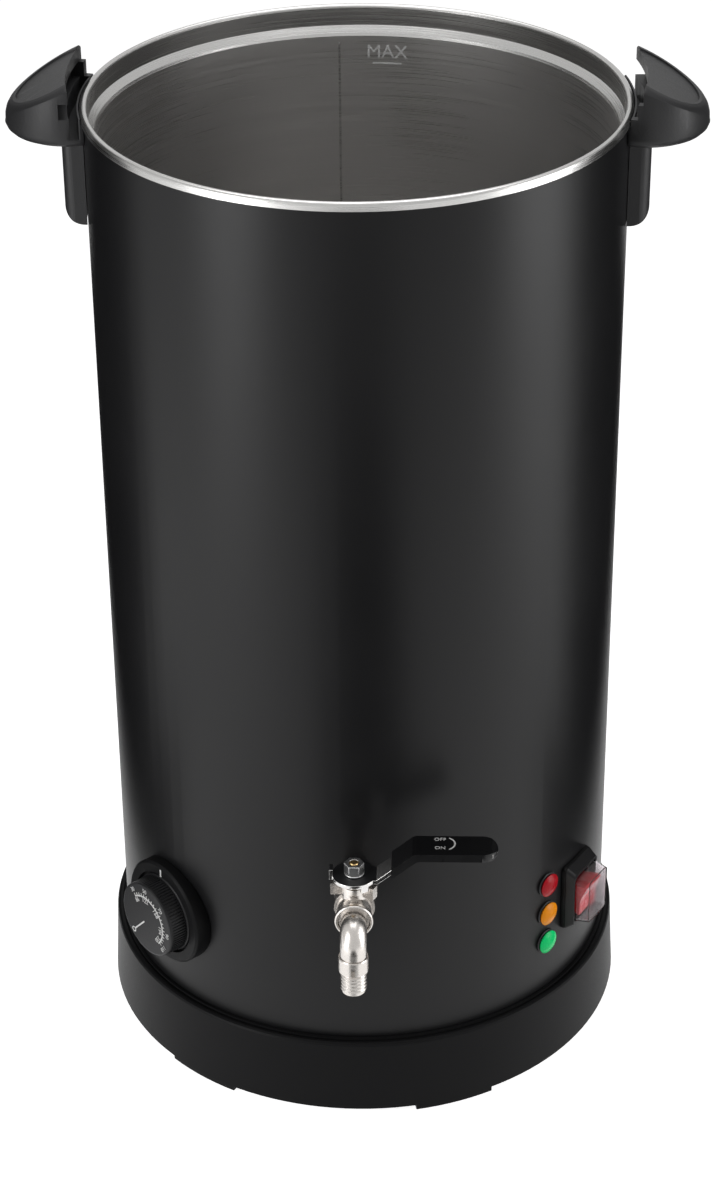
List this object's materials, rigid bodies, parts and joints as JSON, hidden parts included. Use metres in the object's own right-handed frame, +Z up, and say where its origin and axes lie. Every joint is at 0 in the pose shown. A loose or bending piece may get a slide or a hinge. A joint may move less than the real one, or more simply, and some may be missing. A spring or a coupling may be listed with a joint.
{
  "type": "candle wax melter",
  "caption": "Tall round electric wax melting urn with a steel pot in a black shell, side grips, thermostat dial, indicator lamps, covered rocker switch and a lever tap with a downward spout.",
  "frame": {"origin": "on the pot's axis, in the plane of the table that the foot pads stand on", "axes": "+Z up along the pot's axis, -Y from the pot's axis towards the tap and spout, +X towards the grip on the right of someone who faces the tap"},
  "size_m": [0.33, 0.3168, 0.5162],
  "materials": {
    "shell_black": "satin",
    "base_black": "satin",
    "handle_black": "satin",
    "pot_steel": "brushed",
    "plain_steel": "satin",
    "tap_nickel": "satin",
    "lever_paint": "satin",
    "sleeve_black": "gloss",
    "brass": "satin",
    "seal_white": "matte",
    "silicone": "matte",
    "pad_rubber": "matte",
    "heater_aluminium": "satin",
    "element_dark": "matte",
    "inner_plastic": "matte",
    "terminal_cream": "matte",
    "knob_black": "satin",
    "frame_black": "satin",
    "lens_red": "gloss",
    "lens_amber": "gloss",
    "lens_green": "gloss",
    "rocker_red": "gloss",
    "boot_clear": "clear gloss",
    "wire_red": "matte"
  },
  "bodies": {
    "housing": {"outer_shell": "shell_black", "base_ring": "base_black", "dial_bezel": "base_black", "handle_right": "handle_black", "handle_left": "handle_black", "inner_pot": "pot_steel", "base_cover": "plain_steel", "cover_screws": "plain_steel", "shell_brackets": "plain_steel", "bracket_screws": "plain_steel", "heater_clamp": "plain_steel", "pot_stud": "plain_steel", "stud_nut": "plain_steel", "thermostat_screws": "plain_steel", "lamp_nuts": "plain_steel", "inlet_screws": "plain_steel", "handle_screws": "plain_steel", "valve_body": "tap_nickel", "valve_end": "tap_nickel", "spout_nozzle": "tap_nickel", "tank_locknut": "tap_nickel", "tank_spacer": "tap_nickel", "spout_elbow": "tap_nickel", "gland_nut": "brass", "terminal_screws": "brass", "switch_terminals": "brass", "inlet_pins": "brass", "handle_inserts": "brass", "thermostat_sensor": "brass", "valve_seats": "seal_white", "stem_packing": "seal_white", "inner_gasket": "silicone", "outer_gasket": "silicone", "foot_pads": "pad_rubber", "heater_plate": "heater_aluminium", "heating_ring": "element_dark", "thermal_cutout": "inner_plastic", "lamp_holders": "inner_plastic", "switch_body": "inner_plastic", "power_inlet": "inner_plastic", "terminal_block": "terminal_cream", "thermostat_body": "terminal_cream", "switch_frame": "frame_black", "lamp_red": "lens_red", "lamp_amber": "lens_amber", "lamp_green": "lens_green", "switch_boot": "boot_clear", "wiring": "wire_red"},
    "tap_handle": {"valve_lever": "lever_paint", "lever_sleeve": "sleeve_black", "lever_nut": "plain_steel", "valve_stem": "brass", "valve_ball": "plain_steel"},
    "dial": {"thermostat_knob": "knob_black", "thermostat_shaft": "plain_steel"},
    "rocker": {"switch_rocker": "rocker_red"}
  },
  "joints": [
    {"name": "valve_turn", "type": "hinge", "parent": "housing", "child": "tap_handle", "pos_m": [0, -0.15, 0.1615], "axis": [0, 0, 1], "range_deg": [-90, 0]},
    {"name": "thermostat_turn", "type": "hinge", "parent": "housing", "child": "dial", "pos_m": [-0.09542, -0.08532, 0.0955], "axis": [-0.7455, -0.6665, 0], "range_deg": [-137, 134]},
    {"name": "rocker_tilt", "type": "hinge", "parent": "housing", "child": "rocker", "pos_m": [0.11057, -0.06487, 0.096], "axis": [-0.506, -0.8625, 0], "range_deg": [0, 24]}
  ]
}
